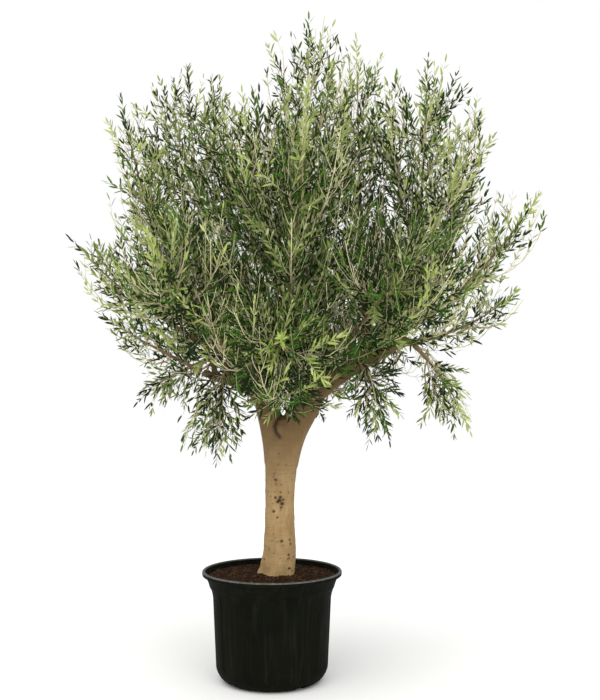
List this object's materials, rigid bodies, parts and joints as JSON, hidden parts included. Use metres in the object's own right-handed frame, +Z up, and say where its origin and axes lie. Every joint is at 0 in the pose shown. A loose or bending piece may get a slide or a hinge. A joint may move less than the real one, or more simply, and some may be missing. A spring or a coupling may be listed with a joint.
{
  "type": "potted olive tree",
  "caption": "Small olive tree in a round black nursery pot: a smooth pale trunk forks into spreading boughs under a full, feathery, grey-green crown.",
  "frame": {"origin": "on the ground under the middle of the pot, at the centre of its flat underside", "axes": "+Z up along the trunk; +X to the right and +Y to the back, seen from the side that shows the wider branch of the fork on the right"},
  "size_m": [2.03, 1.7712, 2.879],
  "materials": {
    "pot_plastic": "dusty satin black",
    "soil": "dark crumbly potting soil with bark chips",
    "bark": "smooth tan bark with dark pits and knots",
    "leaves": "leathery grey-green leaves, silvery below"
  },
  "bodies": {
    "root": {"pot": "pot_plastic", "soil": "soil", "trunk": "bark", "bough_back": "bark", "bough_back_left": "bark", "bough_back_low": "bark", "bough_back_right": "bark", "bough_front": "bark", "bough_front_left": "bark", "bough_front_low": "bark", "bough_front_right": "bark", "bough_left": "bark", "bough_left_drop": "bark", "bough_left_far": "bark", "bough_left_hang": "bark", "bough_left_low": "bark", "bough_left_top": "bark", "bough_middle": "bark", "bough_right": "bark", "bough_right_far": "bark", "bough_right_hang": "bark", "bough_right_mid": "bark", "bough_right_top": "bark", "bough_right_upper": "bark", "bough_top": "bark", "bough_top_right": "bark", "bough_under_right": "bark", "foliage_back": "leaves", "foliage_back_left": "leaves", "foliage_back_low": "leaves", "foliage_back_right": "leaves", "foliage_front": "leaves", "foliage_front_left": "leaves", "foliage_front_low": "leaves", "foliage_front_right": "leaves", "foliage_left": "leaves", "foliage_left_drop": "leaves", "foliage_left_far": "leaves", "foliage_left_hang": "leaves", "foliage_left_low": "leaves", "foliage_left_top": "leaves", "foliage_middle": "leaves", "foliage_right_far": "leaves", "foliage_right_hang": "leaves", "foliage_right_mid": "leaves", "foliage_right_top": "leaves", "foliage_right_upper": "leaves", "foliage_top": "leaves", "foliage_top_right": "leaves", "foliage_under_right": "leaves"}
  },
  "joints": []
}
